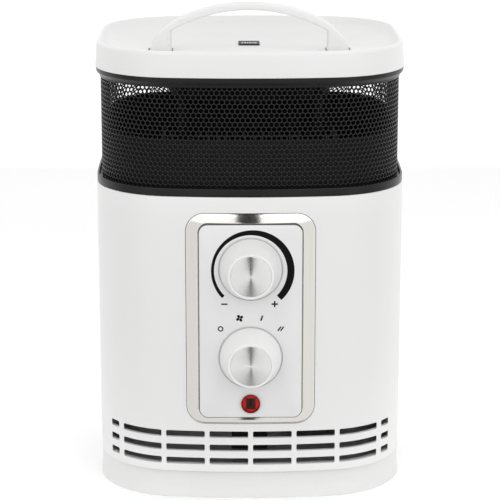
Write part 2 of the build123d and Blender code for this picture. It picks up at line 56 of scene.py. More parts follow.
def high_mm(node):
    """A CAD node's highest corner in millimetres."""
    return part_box(node)[1] / MM


# -------------------- plan outline

HALF_WIDTH = high_mm("front_housing").x
HALF_DEPTH = high_mm("rear_housing").y
FRONT_BOW = 416.0
SIDE_BOW = 1350.0
CORNER_ROUND = 56.6


def bow_corner():
    """Centre of the right rear corner arc, tangent inside the rear bow and the side bow."""
    bow_y = HALF_DEPTH - FRONT_BOW
    side_x = HALF_WIDTH - SIDE_BOW
    to_bow = FRONT_BOW - CORNER_ROUND
    to_side = SIDE_BOW - CORNER_ROUND
    gap = math.hypot(side_x, bow_y)
    along = (to_bow**2 - to_side**2 + gap**2) / (2 * gap)
    across = math.sqrt(to_bow**2 - along**2)
    unit_x, unit_y = side_x / gap, -bow_y / gap
    return unit_x * along + unit_y * across, bow_y + unit_y * along - unit_x * across


CORNER_X, CORNER_Y = bow_corner()
BOW_END = math.atan2(CORNER_Y - HALF_DEPTH + FRONT_BOW, CORNER_X)
SIDE_END = math.atan2(CORNER_Y, CORNER_X - HALF_WIDTH + SIDE_BOW)
BOW_STEPS, CORNER_STEPS, SIDE_STEPS = 20, 22, 10


def arc(x, y, radius, start, end, steps):
    """Points of one arc, with its start and without its end."""
    angles = [start + (end - start) / steps * i for i in range(steps)]
    return [(x + radius * math.cos(angle), y + radius * math.sin(angle)) for angle in angles]


def plan_quarter(inset):
    """The right rear quarter of the outline, from the side's middle to the rear's middle."""
    points = arc(HALF_WIDTH - SIDE_BOW, 0, SIDE_BOW - inset, 0, SIDE_END, SIDE_STEPS // 2)
    points += arc(CORNER_X, CORNER_Y, CORNER_ROUND - inset, SIDE_END, BOW_END, CORNER_STEPS)
    points += arc(0, HALF_DEPTH - FRONT_BOW, FRONT_BOW - inset, BOW_END, math.pi / 2, BOW_STEPS // 2)
    return points + [(0, HALF_DEPTH - inset)]


def plan_loop(inset):
    """The whole outline, counter-clockwise from the middle of the right side."""
    quarter = plan_quarter(inset)
    loop = quarter[:-1]
    loop += [(-x, y) for x, y in reversed(quarter[1:])]
    loop += [(-x, -y) for x, y in quarter[:-1]]
    loop += [(x, -y) for x, y in reversed(quarter[1:])]
    return loop


def front_depth(x):
    """Depth of the body's bowed front face at x."""
    return math.sqrt(FRONT_BOW**2 - x**2) - (FRONT_BOW - HALF_DEPTH)


# -------------------- mesh helpers


def mesh_object(name, points, faces, unit=MM):
    """A mesh object in the scene, from points in millimetres or in another unit."""
    mesh = bpy.data.meshes.new(name)
    mesh.from_pydata([Vector(p) * unit for p in points], [], faces)
    made = bpy.data.objects.new(name, mesh)
    bpy.context.scene.collection.objects.link(made)
    return made


def new_piece(name, points, faces, material, body="housing", smooth=35.0):
    """A finished piece with its material, riding on a body."""
    piece = mesh_object(name, points, faces)
    finish_mesh(piece, smooth)
    piece.data.materials.append(material)
    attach(piece, body)
    return piece


def finish_mesh(piece, smooth):
    """Consistent outward normals, and smooth shading below the given edge angle."""
    build = bmesh.new()
    build.from_mesh(piece.data)
    bmesh.ops.recalc_face_normals(build, faces=build.faces)
    for face in build.faces:
        face.smooth = True
    for edge in build.edges:
        edge.smooth = len(edge.link_faces) == 2 and edge.calc_face_angle() < math.radians(smooth)
    build.to_mesh(piece.data)
    build.free()


def soft_corner(before, corner, after, steps):
    """Points of one (a, b, radius) corner between its neighbours: an arc where it has a radius."""
    a, b, radius = corner
    if radius <= 0:
        return [(a, b)]
    here = Vector((a, b))
    back, ahead = Vector(before[:2]) - here, Vector(after[:2]) - here
    half = back.angle(ahead) / 2
    reach = min(radius / math.tan(half), 0.49 * back.length, 0.49 * ahead.length)
    start, end = here + back.normalized() * reach, here + ahead.normalized() * reach
    shares = [step / steps for step in range(steps + 1)]
    return [tuple(start * (1 - t) ** 2 + here * (2 * t * (1 - t)) + end * t**2) for t in shares]


def rounded(profile, steps=4):
    """A closed profile of (a, b, radius) corners as plain points, with soft corners."""
    points = []
    for i, corner in enumerate(profile):
        points += soft_corner(profile[i - 1], corner, profile[(i + 1) % len(profile)], steps)
    return points


def open_path(corners, steps=5):
    """Like rounded(), for a path whose ends stay where they are."""
    points = [tuple(corners[0][:2])]
    for before, corner, after in zip(corners, corners[1:], corners[2:]):
        points += soft_corner(before, corner, after, steps)
    return points + [tuple(corners[-1][:2])]


def grid_faces(rows, columns, wrap_rows, wrap_columns):
    """Quads of a grid of points stored row after row."""
    faces = []
    for r in range(rows if wrap_rows else rows - 1):
        for c in range(columns if wrap_columns else columns - 1):
            r2, c2 = (r + 1) % rows, (c + 1) % columns
            faces.append((r * columns + c, r * columns + c2, r2 * columns + c2, r2 * columns + c))
    return faces


def loops_piece(name, loops, material, closed, smooth=35.0):
    """A piece through equal loops. Closed joins the last loop to the first, else the ends are capped."""
    count = len(loops[0])
    points = [p for loop in loops for p in loop]
    faces = grid_faces(len(loops), count, closed, True)
    if not closed:
        faces.append(tuple(range(count)))
        faces.append(tuple(range(len(points) - 1, len(points) - count - 1, -1)))
    return new_piece(name, points, faces, material, smooth=smooth)


def band(name, profile, material):
    """A ring all round the plan outline. profile holds (inset, z, radius) corners."""
    loops = [[(x, y, z) for x, y in plan_loop(inset)] for inset, z in rounded(profile)]
    return loops_piece(name, loops, material, True)


def turned(x, z, profile, segments=96):
    """Points and faces of a shape turned about the line (x, z) along Y, from (radius, depth) pairs."""
    points, faces, rows = [], [], []
    for radius, depth in profile:
        if radius == 0:
            rows.append([len(points)])
            points.append((x, -depth, z))
            continue
        rows.append(list(range(len(points), len(points) + segments)))
        for i in range(segments):
            angle = 2 * math.pi * i / segments
            points.append((x + radius * math.cos(angle), -depth, z + radius * math.sin(angle)))
    for a, b in zip(rows, rows[1:]):
        for i in range(segments):
            j = (i + 1) % segments
            corners = (a[i % len(a)], a[j % len(a)], b[j % len(b)], b[i % len(b)])
            faces.append(tuple(dict.fromkeys(corners)))
    return points, faces


def lathe(name, z, profile, material, body="housing", segments=96, smooth=40.0):
    """A turned piece about the line along Y at X = 0 and the height z."""
    return new_piece(name, *turned(0, z, profile, segments), material, body, smooth)


# -------------------- materials


def rgba(colour):
    """An opaque colour, from (red, green, blue) or from one level of grey."""
    return (*colour, 1) if isinstance(colour, tuple) else (colour, colour, colour, 1)


class Surface:
    """A procedural material around one Principled shader."""

    def __init__(self, name, colour, roughness, **sockets):
        self.material = bpy.data.materials.new(name)
        self.material.use_nodes = True
        self.tree = self.material.node_tree
        self.shader = self.tree.nodes["Principled BSDF"]
        self.shader.inputs["Base Color"].default_value = rgba(colour)
        self.shader.inputs["Roughness"].default_value = roughness
        for socket, value in sockets.items():
            self.shader.inputs[socket.replace("_", " ")].default_value = value
        self.place = self.tree.nodes.new("ShaderNodeTexCoord").outputs["Object"]

    def feed(self, socket, value):
        """Set an input to a value, or link it to another node's socket."""
        if isinstance(value, bpy.types.NodeSocket):
            self.tree.links.new(value, socket)
        else:
            socket.default_value = value

    def node(self, kind, **inputs):
        """A new node with some inputs set to values or linked to sockets."""
        made = self.tree.nodes.new(kind)
        for key, value in inputs.items():
            self.feed(made.inputs[key.replace("_", " ")], value)
        return made

    def maths(self, operation, *values):
        """What a maths node makes of one or two values."""
        made = self.tree.nodes.new("ShaderNodeMath")
        made.operation = operation
        for socket, value in zip(made.inputs, values):
            self.feed(socket, value)
        return made.outputs[0]

    def noise(self, scale, detail=3.0, stretch=(1, 1, 1)):
        """Fractal noise in object space, stretched along the axes."""
        mapping = self.node("ShaderNodeMapping", Vector=self.place, Scale=stretch)
        made = self.node("ShaderNodeTexNoise", Vector=mapping.outputs[0], Scale=scale, Detail=detail)
        return made.outputs["Fac"]

    def from_axis(self, centre_z):
        """The place across a line along Y at a height in millimetres, and the distance from that line."""
        offset = (0, 0, -centre_z * MM)
        mapping = self.node("ShaderNodeMapping", Vector=self.place, Location=offset, Scale=(1, 0, 1))
        across = mapping.outputs[0]
        length = self.node("ShaderNodeVectorMath")
        length.operation = "LENGTH"
        self.tree.links.new(across, length.inputs[0])
        return across, length.outputs["Value"]

    def spread(self, value, low, high):
        """Stretch a 0 to 1 value over a new range."""
        return self.node("ShaderNodeMapRange", Value=value, To_Min=low, To_Max=high).outputs[0]

    def vary_colour(self, value, first, second):
        """Run the base colour from first to second as the value goes from 0.3 to 0.7."""
        ramp = self.tree.nodes.new("ShaderNodeValToRGB")
        ramp.color_ramp.elements[0].color = rgba(first)
        ramp.color_ramp.elements[1].color = rgba(second)
        ramp.color_ramp.elements[0].position = 0.3
        ramp.color_ramp.elements[1].position = 0.7
        self.tree.links.new(value, ramp.inputs[0])
        self.tree.links.new(ramp.outputs[0], self.shader.inputs["Base Color"])

    def vary_roughness(self, value, low, high):
        self.tree.links.new(self.spread(value, low, high), self.shader.inputs["Roughness"])

    def bump(self, value, strength, distance_mm):
        made = self.node("ShaderNodeBump", Height=value, Strength=strength, Distance=distance_mm * MM)
        self.tree.links.new(made.outputs[0], self.shader.inputs["Normal"])


def plastic(name, first, second, roughness, grain=2200.0, bump=0.05, ior=1.5):
    """Moulded plastic or paint: a faint drift of colour and gloss, and a fine grain."""
    made = Surface(name, first, roughness, IOR=ior)
    drift = made.noise(9.0, 2.0)
    made.vary_colour(drift, first, second)
    made.vary_roughness(made.noise(60.0, 3.0), roughness - 0.04, roughness + 0.05)
    made.bump(made.noise(grain, 2.0), bump, 0.05)
    return made.material


def metal(name, first, second, roughness, stretch=(1, 1, 1), scale=900.0, bump=0.08):
    """Plain metal with a directional grain."""
    made = Surface(name, first, roughness, Metallic=1.0)
    grain = made.noise(scale, 4.0, stretch)
    made.vary_colour(grain, first, second)
    made.vary_roughness(grain, 0.8 * roughness, 1.3 * roughness)
    made.bump(grain, bump, 0.03)
    return made.material


def spun_metal(name, centre_z):
    """Turned aluminium: fine rings about the knob's axis and a highlight stretched across them."""
    made = Surface(name, (0.93, 0.93, 0.915), 0.22, Metallic=1.0, Anisotropic=1.0, Anisotropic_Rotation=0.25)
    rings = made.node("ShaderNodeTexNoise", Scale=5200.0, Detail=2.0)
    rings.noise_dimensions = "1D"
    made.feed(rings.inputs["W"], made.from_axis(centre_z)[1])
    made.vary_colour(rings.outputs["Fac"], (0.88, 0.88, 0.86), (0.97, 0.97, 0.955))
    made.vary_roughness(rings.outputs["Fac"], 0.17, 0.22)
    tangent = made.node("ShaderNodeTangent")
    tangent.direction_type = "RADIAL"
    tangent.axis = "Y"
    made.tree.links.new(tangent.outputs[0], made.shader.inputs["Tangent"])
    return made.material


WHITE = plastic("white_plastic", (0.80, 0.80, 0.795), (0.82, 0.82, 0.815), 0.34)
PANEL_WHITE = plastic("panel_white", 0.78, 0.80, 0.38)
# Painted light: the knobs' white is a lighter copy of the body's white, lifting the shaded sides of their
# cones
LIT_KNOB_WHITE = plastic("knob_white_painted_light", (0.84, 0.84, 0.835), (0.86, 0.86, 0.855), 0.36)
BLACK_TRIM = plastic("black_trim", (0.007, 0.007, 0.0075), (0.010, 0.010, 0.0105), 0.28, ior=1.36)
BLACK_MESH = plastic("black_mesh", (0.003, 0.003, 0.0032), (0.005, 0.005, 0.0053), 0.24, bump=0.06, ior=1.40)
SKIRT_BLACK = plastic("skirt_black", (0.008, 0.008, 0.0083), (0.011, 0.011, 0.0113), 0.5, ior=1.32)
# Painted shade: near-black with little gloss for inner parts, so the heater's inside reads dark through the
# grille and slots
INSIDE_SHADE = plastic("painted_inside_shade", 0.004, 0.006, 0.6, ior=1.2)
BLACK_PLASTIC = plastic("black_plastic", 0.018, 0.026, 0.5)
LIGHT_GREY = plastic("light_grey", 0.30, 0.36, 0.5)
# Painted shade: the plinth's white is a darker copy of the body's white, for the plinth lying in shade under
# the body
SHADED_PLINTH_WHITE = plastic("plinth_white_painted_shade", (0.745, 0.745, 0.74), (0.765, 0.765, 0.76), 0.36)
GREY_PLASTIC = plastic("grey_plastic", 0.10, 0.13, 0.55)
# Painted shadow: a dark grey strip that stands in for the shadow gap under the bezel's edge
SHADOW_LINE_GREY = plastic("painted_shadow_line_grey", (0.045, 0.043, 0.040), (0.06, 0.058, 0.053), 0.5, ior=1.3)
# Painted shadow: a paler grey strip that fills the gap round the panel in place of its shade
PALE_SHADOW_LINE = plastic("pale_painted_shadow_line", (0.10, 0.097, 0.092), (0.13, 0.127, 0.120), 0.5, ior=1.3)
RUBBER = plastic("rubber", 0.03, 0.045, 0.8, grain=1400.0, bump=0.2)
CERAMIC = plastic("ceramic", (0.62, 0.60, 0.55), (0.70, 0.68, 0.63), 0.7, bump=0.15)
INK = plastic("black_ink", 0.003, 0.006, 0.45, ior=1.18)
CHROME = metal("chrome", (0.88, 0.865, 0.815), (0.90, 0.885, 0.84), 0.07, stretch=(1, 1, 0.05), bump=0.004)
STEEL = metal("zinc_steel", 0.50, (0.62, 0.62, 0.61), 0.34)
SHEET = metal("galvanised_sheet", (0.42, 0.43, 0.44), (0.56, 0.57, 0.58), 0.42, scale=120.0)
# Painted shade: near-black metal standing in for the shade inside the heater
INSIDE_SHADE_METAL = metal("painted_shade_metal", (0.010, 0.010, 0.0103), (0.018, 0.018, 0.0185), 0.5, (1, 0.05, 1))


def lens_red(centre_z):
    """Red plastic with painted shade: darker at its rim, where the dome's edge turns from the light, and dark
    brown over the block behind it, painted in place of seeing the block through the lens.
    """
    made = Surface("red_lens", (0.75, 0.01, 0.008), 0.12, IOR=1.30, Transmission_Weight=0.25)
    across, distance = made.from_axis(centre_z)
    split = made.node("ShaderNodeSeparateXYZ", Vector=across)
    block, blur = {"X": 3.3, "Z": 3.9}, 1.3
    block_shade_fades = []
    for axis, half in block.items():
        size = made.maths("ABSOLUTE", split.outputs[axis])
        near, far = (half - blur) * MM, (half + blur) * MM
        block_shade_fades.append(made.node("ShaderNodeMapRange", Value=size, From_Min=near, From_Max=far).outputs[0])
    # Painted shade of the block behind the lens: dark brown inside the block's outline, fading over the blur,
    # with a random mottle
    clear = made.maths("MULTIPLY", made.maths("MAXIMUM", *block_shade_fades), made.spread(made.noise(900.0), 0.86, 1.0))
    # Painted shade at the rim: the colour darkens over the dome's outer edge
    rim_shade_start, rim_shade_end = 5.3 * MM, 6.0 * MM
    rim = made.node("ShaderNodeMapRange", Value=distance, From_Min=rim_shade_start, From_Max=rim_shade_end,
                    To_Min=1.0, To_Max=0.42)
    shade = made.maths("MULTIPLY", clear, rim.outputs[0])
    made.vary_colour(shade, (0.045, 0.008, 0.004), (0.68, 0.013, 0.010))
    made.vary_roughness(made.noise(500.0), 0.08, 0.18)
    return made.material


LENS_CORE_Z = 69.2
RED_LENS_PAINTED_SHADE = lens_red(LENS_CORE_Z)
BADGE_BLACK = plastic("badge_black", 0.004, 0.007, 0.35, ior=1.2)
BADGE_SILVER = plastic("badge_silver", 0.55, 0.65, 0.4)
LAMP_DARK = plastic("lamp_dark", (0.05, 0.008, 0.006), (0.09, 0.012, 0.008), 0.35)

# -------------------- CAD nodes that stay

NODE_MATERIALS = {
    WHITE: ["front_housing", "rear_housing", "top_cap", "carry_handle", "thermostat_knob", "mode_knob",
            "base_plinth"],
    PANEL_WHITE: ["control_panel"],
    GREY_PLASTIC: ["tip_switch_plunger", "terminal_block"],
    LIGHT_GREY: ["base_plate"],
    RUBBER: ["rubber_feet"],
    STEEL: ["base_screws", "housing_screws", "motor_shaft", "handle_screws", "bracket_screws",
            "spindle_nuts", "thermostat_spindle", "mode_spindle"],
    BLACK_PLASTIC: ["tip_switch_body", "cord_gland", "fan_duct", "motor_bracket", "fan_impeller",
                    "thermal_cutout", "name_tag", "mode_switch_body"],
    SHEET: ["fan_motor", "switch_bracket", "fan_deck"],
    CERAMIC: ["thermal_fuse", "thermostat_body"],
    # Painted shade: the heating element's fins and ceramic bars are near-black metal in place of the shade
    # inside the heater
    INSIDE_SHADE_METAL: ["ptc_fins", "ptc_ceramic_bars"],
    BLACK_TRIM: ["lower_trim_ring", "upper_trim_ring"],
    BLACK_MESH: ["grille_mesh"],
    # Painted shade: these inner parts are near-black in place of the shade inside the heater
    INSIDE_SHADE: ["ptc_frame", "cage_posts", "heat_skirt", "cap_heat_shield", "air_deflector"],
    CHROME: ["panel_bezel"],
    RED_LENS_PAINTED_SHADE: ["lamp_lens"],
    LAMP_DARK: ["lamp_bulb"],
}
for material, names in NODE_MATERIALS.items():
    for name in names:
        node = nodes[name]
        node.data.materials.clear()
        node.data.materials.append(material)
for disc in ("thermostat_knob_disc", "mode_knob_disc"):
    middle = (low_mm(disc).z + high_mm(disc).z) / 2
    nodes[disc].data.materials.clear()
    nodes[disc].data.materials.append(spun_metal(f"spun_{disc}", middle))

# -------------------- body shells

WALL = 2.5
BODY_BASE, BODY_TOP = low_mm("front_housing").z, high_mm("front_housing").z
SLOT_WIDTH, SLOT_HEIGHT, SLOT_ROUND = 26.3, 4.7, 0.9
SLOT_ROWS = [26.3 + 9.6 * i for i in range(3)]
SLOT_COLUMNS = [29.5 * (i - 2.5) for i in range(6)]
END_SLOT_WIDTH, END_SLOT_X = 5.3, 92.85
SEAM_SCREWS = [(x, z) for x in (-80, 80) for z in (70, 190)]
SCREW_HOLE_RADIUS = 3.0
GLAND, GLAND_RADIUS = (62, 66), 6.0
WINDOW_Z = 125.7
OPENING_WIDTH, OPENING_HEIGHT, OPENING_ROUND = 62, 128.6, 5
# Depths that a cutter runs between to clear the front or the rear wall
FRONT_SPAN, REAR_SPAN = (20, 120), (-120, -20)


def rounded_rectangle(width, height, radius, corner_steps=10, side_steps=1):
    """A rounded rectangle about (0, 0), counter-clockwise, with side_steps spans on every straight side."""
    a, b = width / 2 - radius, height / 2 - radius
    points = []
    for i, (x, y) in enumerate(((a, b), (-a, b), (-a, -b), (a, -b))):
        start = i * math.pi / 2
        for k in range(corner_steps + 1):
            angle = start + math.pi / 2 * k / corner_steps
            points.append((x + radius * math.cos(angle), y + radius * math.sin(angle)))
        far_x, far_y = ((-a, b + radius), (-a - radius, -b), (a, -b - radius), (a + radius, b))[i]
        here_x, here_y = points[-1]
        for k in range(1, side_steps):
            t = k / side_steps
            points.append((here_x + (far_x - here_x) * t, here_y + (far_y - here_y) * t))
    return points


def rectangle(width, height):
    """The corners of a rectangle about (0, 0)."""
    a, b = width / 2, height / 2
    return [(-a, -b), (a, -b), (a, b), (-a, b)]


def prism(shape, back, front):
    """Points and faces of an (x, z) outline pushed along Y between two depths."""
    count = len(shape)
    points = [(x, -back, z) for x, z in shape] + [(x, -front, z) for x, z in shape]
    faces = [tuple(range(count)), tuple(range(2 * count - 1, count - 1, -1))]
    faces += [(i, (i + 1) % count, count + (i + 1) % count, count + i) for i in range(count)]
    return points, faces


def merged(parts):
    """Several (points, faces) shapes as one."""
    points, faces = [], []
    for part_points, part_faces in parts:
        faces += [tuple(i + len(points) for i in face) for face in part_faces]
        points += part_points
    return points, faces


def cut_out(piece, points, faces):
    """Cut a shape out of a piece. The piece needs finish_mesh after its last cut."""
    tool = mesh_object("tool", points, faces)
    finish_mesh(tool, 0.0)
    modifier = piece.modifiers.new("cut", "BOOLEAN")
    modifier.operation = "DIFFERENCE"
    modifier.solver = "EXACT"
    modifier.use_self = False
    modifier.object = tool
    graph = bpy.context.evaluated_depsgraph_get()
    shape = bpy.data.meshes.new_from_object(piece.evaluated_get(graph))
    piece.modifiers.clear()
    piece.data = shape
    bpy.data.objects.remove(tool)


def rod(x, z, radius, back, front, segments=32):
    """A round rod along Y."""
    turn = 2 * math.pi / segments
    circle = [(x + radius * math.cos(turn * i), z + radius * math.sin(turn * i)) for i in range(segments)]
    return prism(circle, back, front)


def shifted(shape, x, z):
    """An (x, z) outline moved to a place."""
    return [(a + x, b + z) for a, b in shape]


def intake_slots(back, front):
    """Cutters for three rows of slots and the short slots at both ends."""
    wide = rounded_rectangle(SLOT_WIDTH, SLOT_HEIGHT, SLOT_ROUND, 4)
    short = rounded_rectangle(END_SLOT_WIDTH, SLOT_HEIGHT, SLOT_ROUND, 4)
    parts = []
    for z in SLOT_ROWS:
        parts += [prism(shifted(wide, x, z), back, front) for x in SLOT_COLUMNS]
        parts += [prism(shifted(short, x, z), back, front) for x in (-END_SLOT_X, END_SLOT_X)]
    return merged(parts)


def shell_half(name, side):
    """Half of the body shell, split at Y = 0. side is -1 for the front and 1 for the rear."""
    outer_rows = [(0.4, BODY_BASE), (0.1, BODY_BASE + 0.1), (0, BODY_BASE + 0.4)]
    outer_rows += [(0, z) for z in (22.0, 34.0, 41.0, 52.0, 60.0, 96.0, 132.0, 168.0, 195.0)]
    outer_rows += [(0, BODY_TOP - 0.9), (0.25, BODY_TOP - 0.25), (0.9, BODY_TOP)]
    rows = outer_rows + [(WALL, BODY_TOP), (WALL, 132.0), (WALL, 52.0), (WALL, BODY_BASE)]
    quarter_count = len(plan_quarter(0))
    points = []
    for inset, z in rows:
        quarter = plan_quarter(inset)
        half = quarter + [(-x, y) for x, y in reversed(quarter[:-1])]
        points += [(x, side * y, z) for x, y in half]
    columns = 2 * quarter_count - 1
    faces = grid_faces(len(rows), columns, True, False)
    faces.append(tuple(r * columns for r in range(len(rows))))
    faces.append(tuple(r * columns + columns - 1 for r in reversed(range(len(rows)))))
    piece = new_piece(name, points, faces, WHITE, smooth=30.0)
    cut_out(piece, *intake_slots(*(FRONT_SPAN if side < 0 else REAR_SPAN)))
    return piece


def front_shell():
    """The front half, with the opening behind the control panel."""
    piece = shell_half("front_shell", -1)
    opening = rounded_rectangle(OPENING_WIDTH, OPENING_HEIGHT, OPENING_ROUND, 8)
    cut_out(piece, *prism(shifted(opening, 0, WINDOW_Z), *FRONT_SPAN))
    return piece


def rear_shell():
    """The rear half, with its screw holes and the hole for the cord's gland."""
    piece = shell_half("rear_shell", 1)
    cutters = [rod(x, z, SCREW_HOLE_RADIUS, *REAR_SPAN) for x, z in SEAM_SCREWS]
    cutters.append(rod(*GLAND, GLAND_RADIUS, *REAR_SPAN, 48))
    cut_out(piece, *merged(cutters))
    return piece


for shell, node in ((front_shell(), "front_housing"), (rear_shell(), "rear_housing")):
    finish_mesh(shell, 30.0)
    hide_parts(node)

# -------------------- plinth, trim rings and skirt

SETBACK, SETBACK_START, SETBACK_RISE = 3.0, 1.0, 8.0
# The plinth's darker white is painted shade under the body's edge
plinth = band("plinth", [(-0.3, 0, 0.6), (-0.3, 1, 0), (-0.25, 2.6, 0), (-0.2, 4.2, 0), (-0.1, 5.8, 0),
                         (0, 7.4, 0), (0.1, 9, 0), (0.3, 17.95, 0.2), (2.6, 17.95, 0), (2.6, 22.9, 0.4),
                         (5.1, 22.9, 0.4), (5.1, 15.4, 0), (3.2, 15.4, 0), (3.2, 0, 0.4)], SHADED_PLINTH_WHITE)
for vertex in plinth.data.vertices:
    rise = min(max((vertex.co.z / MM - SETBACK_START) / SETBACK_RISE, 0.0), 1.0)
    drawn_in = SETBACK * rise * rise * (3 - 2 * rise)
    vertex.co.y *= 1 - drawn_in / HALF_DEPTH
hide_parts("base_plinth")

lower_ring = band("lower_ring", [(0.2, 210.5, 0.4), (0.2, 215.9, 0.7), (1.8, 215.9, 0.5), (1.8, 212.9, 0),
                                 (9.5, 212.9, 0.4), (9.5, 210.5, 0.4)], BLACK_TRIM)
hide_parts("lower_trim_ring")

upper_ring = band("upper_ring", [(3.2, 282.6, 0.15), (2.9, 284.0, 1.0), (0.7, 286.4, 0.8), (0.4, 289.3, 0.2),
                                 (9.5, 289.3, 0), (9.5, 282.6, 0.4), (4.4, 282.6, 0), (4.4, 285.4, 0),
                                 (3.6, 285.4, 0), (3.6, 282.6, 0)], BLACK_TRIM)
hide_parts("upper_trim_ring")

SKIRT_BASE, SKIRT_TOP, SKIRT_TILT = 212.9, 249.5, 1.8
skirt = band("skirt", [(6.2, SKIRT_BASE, 0), (6.2, SKIRT_TOP, 0.5), (7.4, SKIRT_TOP, 0.5),
                       (7.4, SKIRT_BASE, 0)], SKIRT_BLACK)
for vertex in skirt.data.vertices:
    if vertex.co.z > (SKIRT_BASE + SKIRT_TOP) / 2 * MM:
        vertex.co.z += vertex.co.y / HALF_DEPTH * SKIRT_TILT
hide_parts("heat_skirt")

# -------------------- grille

MESH_LOW, MESH_HIGH = 212.9, 285.4
MESH_INSET = 3.6
MESH_GAUGE = 0.8
HOLE_PITCH = 3.45
ROW_PITCH = 3.0
HOLE_RADIUS = 1.40
HOLE_CHAMFER = 0.28


def travelled_along(loop):
    """The distance travelled at each point of a path, in a list as long as the path."""
    travelled = [0.0]
    for a, b in zip(loop, loop[1:]):
        travelled.append(travelled[-1] + math.dist(a, b))
    return travelled


class Sheet:
    """Points of a thin sheet along the plan outline, each made once. A layer is a depth below its face."""

    LAYERS = (0.0, HOLE_CHAMFER, MESH_GAUGE)

    def __init__(self):
        self.loops = [plan_loop(MESH_INSET + depth) for depth in self.LAYERS]
        self.loops = [loop + loop[:1] for loop in self.loops]
        self.travelled = travelled_along(self.loops[0])
        self.points, self.index = [], {}

    def at(self, s, z, layer):
        """The point at a distance along the outline and a height, on one layer."""
        key = (round(s, 2), round(z, 2), layer)
        if key not in self.index:
            along = s % self.travelled[-1]
            i = min(bisect.bisect_right(self.travelled, along) - 1, len(self.travelled) - 2)
            t = (along - self.travelled[i]) / (self.travelled[i + 1] - self.travelled[i])
            (ax, ay), (bx, by) = self.loops[layer][i : i + 2]
            self.index[key] = len(self.points)
            self.points.append((ax + (bx - ax) * t, ay + (by - ay) * t, z))
        return self.index[key]


def sheet_rim(faces, twin):
    """Faces that join a sheet's open outer edges to its back. twin maps front points to back points."""
    seen = {}
    for face in faces:
        for a, b in zip(face, face[1:] + face[:1]):
            seen[frozenset((a, b))] = seen.get(frozenset((a, b)), 0) + 1
    open_edges = [tuple(edge) for edge, uses in seen.items() if uses == 1]
    return [(a, b, twin[b], twin[a]) for a, b in open_edges if a in twin and b in twin]


def punched_mesh():
    """A sheet with staggered round holes, each in its own hexagon of web, in four quarters."""
    length = Sheet().travelled[-1]
    around = 4 * round(length / HOLE_PITCH / 4)
    pitch = length / around
    rows = int((MESH_HIGH - MESH_LOW - 2) / ROW_PITCH)
    first_z = (MESH_LOW + MESH_HIGH - ROW_PITCH * (rows - 1)) / 2
    tip, shoulder = ROW_PITCH * 2 / 3, ROW_PITCH / 3
    corners = [(0, tip), (-0.5, shoulder), (-0.5, -shoulder), (0, -tip), (0.5, -shoulder), (0.5, shoulder)]
    sides = 2 * len(corners)
    turns = [math.pi / 2 + 2 * math.pi * i / sides for i in range(sides)]
    circles = ((HOLE_RADIUS + HOLE_CHAMFER, 0), (HOLE_RADIUS, 1), (HOLE_RADIUS, 2))

    for quarter, name in enumerate(("right_rear", "left_rear", "left_front", "right_front")):
        sheet = Sheet()
        front, back, holes, twin = [], [], [], {}

        def web(s, z):
            """A point of the web between the holes, with its twin on the back."""
            point = sheet.at(s, z, 0)
            twin[point] = sheet.at(s, z, 2)
            return point

        for k in range(quarter * around // 4, (quarter + 1) * around // 4):
            for row in range(rows):
                z, s = first_z + row * ROW_PITCH, (k + 0.5 * (row % 2)) * pitch
                outer = [web(s + a * pitch, z + b) for a, b in corners]
                rings = []
                for radius, layer in circles:
                    places = [(s + radius * math.cos(turn), z + radius * math.sin(turn)) for turn in turns]
                    rings.append([sheet.at(*place, layer) for place in places])
                for i in range(len(corners)):
                    j = (i + 1) % len(corners)
                    ends = (2 * i + 2) % sides, 2 * i + 1, 2 * i
                    front.append((outer[i], outer[j], *(rings[0][e] for e in ends)))
                    back.append((twin[outer[i]], twin[outer[j]], *(rings[2][e] for e in ends)))
                for upper, lower in zip(rings, rings[1:]):
                    for i in range(sides):
                        j = (i + 1) % sides
                        holes.append((upper[i], upper[j], lower[j], lower[i]))
            for z_edge, row, sign in ((MESH_LOW, 0, -1), (MESH_HIGH, rows - 1, 1)):
                z, s = first_z + row * ROW_PITCH, (k + 0.5 * (row % 2)) * pitch
                steps = ((-0.5, shoulder), (0, tip), (0.5, shoulder))
                wave = [web(s + a * pitch, z + sign * b) for a, b in steps]
                front.append(tuple(wave + [web(s + a * pitch, z_edge) for a in (0.5, 0, -0.5)]))
                back.append(tuple(twin[point] for point in front[-1]))
        faces = front + back + holes + sheet_rim(front, twin)
        piece = new_piece(f"{name}_grille", sheet.points, faces, BLACK_MESH, smooth=50.0)
        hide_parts("grille_mesh")


punched_mesh()

# -------------------- cap and handle

CAP_BASE = low_mm("top_cap").z
DISH = [(306.4, 4.2), (301.5, 7.5), (298.0, 13.5), (295.8, 22.0), (294.6, 32.0), (294.2, 42.0)]
DISH_FLOOR = 294.2
HANDLE_SPAN, HANDLE_RISE, HANDLE_Z = 69.3, 37.0, 290.0
GRIP_HALF, GRIP_SHOULDER, GRIP_TOP = 53.7, 308.4, 322.6
HANDLE_DEPTH = 8.0
LEG_X, LEG_GAP = (HANDLE_SPAN + GRIP_HALF) / 2, 0.9
LID_INSET, LID_THICKNESS = 4.5, 2.5
LEG_HOLE_HEIGHT, LEG_HOLE_Z = 14.0, 292.0


def smooth_path(corners, steps=5):
    """A smooth curve through (a, b) points."""
    path = [Vector(p) for p in corners]
    path = [2 * path[0] - path[1]] + path + [2 * path[-1] - path[-2]]
    points = []
    for p0, p1, p2, p3 in zip(path, path[1:], path[2:], path[3:]):
        for i in range(steps):
            t = i / steps
            square, cube = 2 * p0 - 5 * p1 + 4 * p2 - p3, 3 * p1 - p0 - 3 * p2 + p3
            points.append(tuple(0.5 * (2 * p1 + (p2 - p0) * t + square * t**2 + cube * t**3)))
    return points + [tuple(corners[-1])]


